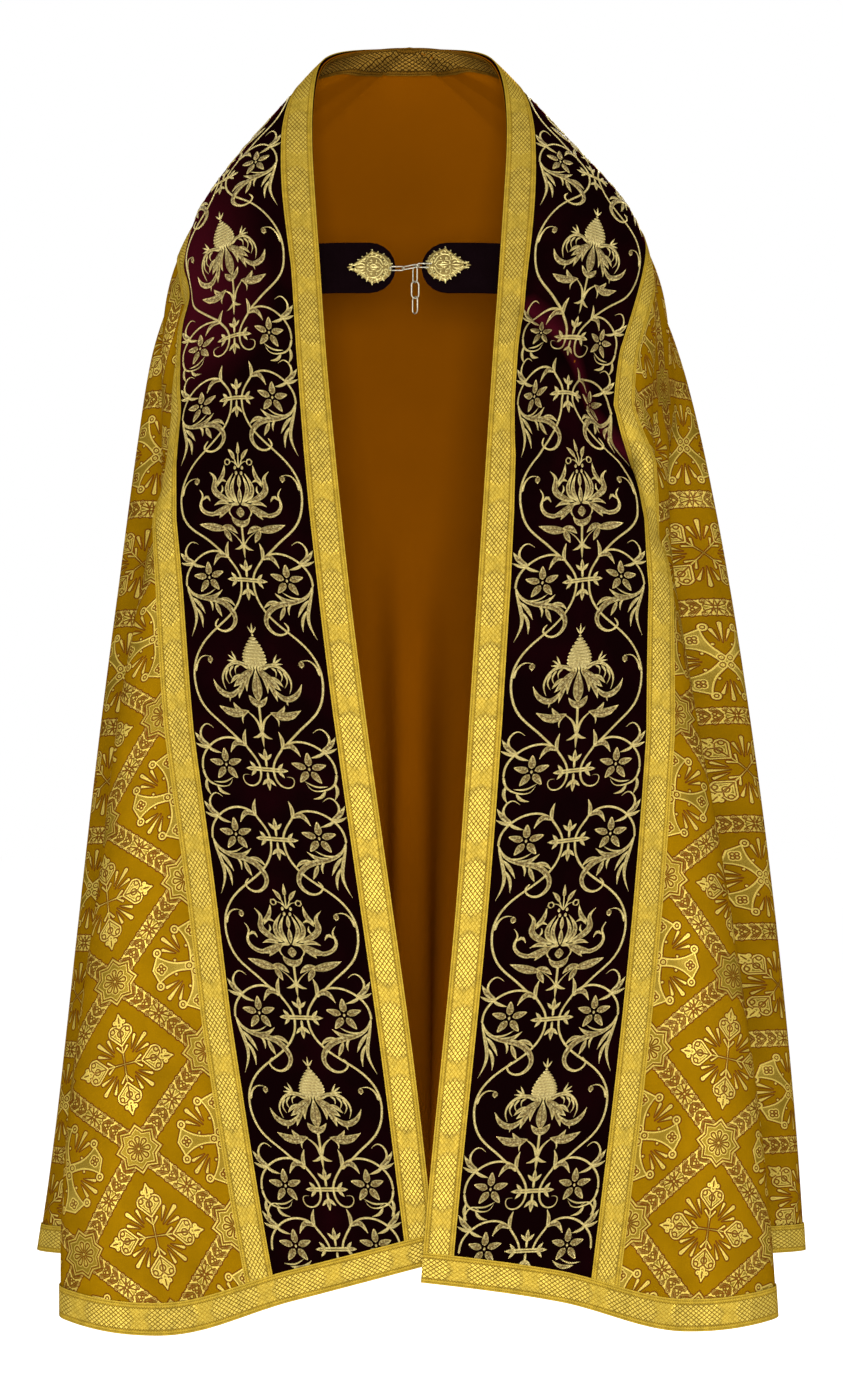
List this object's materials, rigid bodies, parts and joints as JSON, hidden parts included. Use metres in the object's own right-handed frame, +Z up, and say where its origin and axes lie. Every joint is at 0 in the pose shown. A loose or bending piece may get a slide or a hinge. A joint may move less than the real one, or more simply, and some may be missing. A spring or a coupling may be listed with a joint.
{
  "type": "cope vestment",
  "caption": "Semicircular worn cope of gold brocade with a dark velvet embroidered orphrey, galloon borders, lining and a metal clasp.",
  "frame": {"origin": "middle of the neck opening at the height of the nape, where the wearer's shoulders and neck hold the cope", "axes": "+Z up, -Y the way the wearer faces, +X the wearer's left"},
  "size_m": [0.9568, 0.6449, 1.5055],
  "materials": {
    "brocade": "satin brocade with lurex figures",
    "velvet": "dark velvet pile with raised satin stitch",
    "lining": "plain lining satin",
    "galloon": "woven metallic braid",
    "tab": "matte strap cloth",
    "gilt": "antique gilt",
    "chain": "worn plated wire"
  },
  "bodies": {
    "root": {"brocade_right": "brocade", "brocade_left": "brocade", "orphrey_right": "velvet", "orphrey_left": "velvet", "lining_right": "lining", "lining_left": "lining", "neck_facing_right": "galloon", "neck_facing_left": "galloon", "galloon_inner_right": "galloon", "galloon_inner_left": "galloon", "galloon_outer_right": "galloon", "galloon_outer_left": "galloon", "galloon_hem_right": "galloon", "galloon_hem_left": "galloon", "clasp_tab_right": "tab", "clasp_tab_left": "tab", "clasp_plate_right": "gilt", "clasp_plate_left": "gilt", "clasp_eye": "chain", "clasp_hook": "chain", "clasp_link": "chain"},
    "tail_link_1": {"tail_link_1": "chain"},
    "tail_link_2": {"tail_link_2": "chain"},
    "tail_link_3": {"tail_link_3": "chain"}
  },
  "joints": [
    {"name": "tail_1_swing", "type": "hinge", "parent": "root", "child": "tail_link_1", "pos_m": [0.00758, -0.11204, -0.29478], "axis": [0.9832, 0, 0.1824], "range_deg": [-60, 60]},
    {"name": "tail_2_swing", "type": "hinge", "parent": "tail_link_1", "child": "tail_link_2", "pos_m": [0.00758, -0.11204, -0.31257], "axis": [0.5878, -0.809, 0], "range_deg": [-40, 40]},
    {"name": "tail_3_swing", "type": "hinge", "parent": "tail_link_2", "child": "tail_link_3", "pos_m": [0.00758, -0.11204, -0.33037], "axis": [0.9903, 0.1392, 0], "range_deg": [-40, 40]}
  ]
}
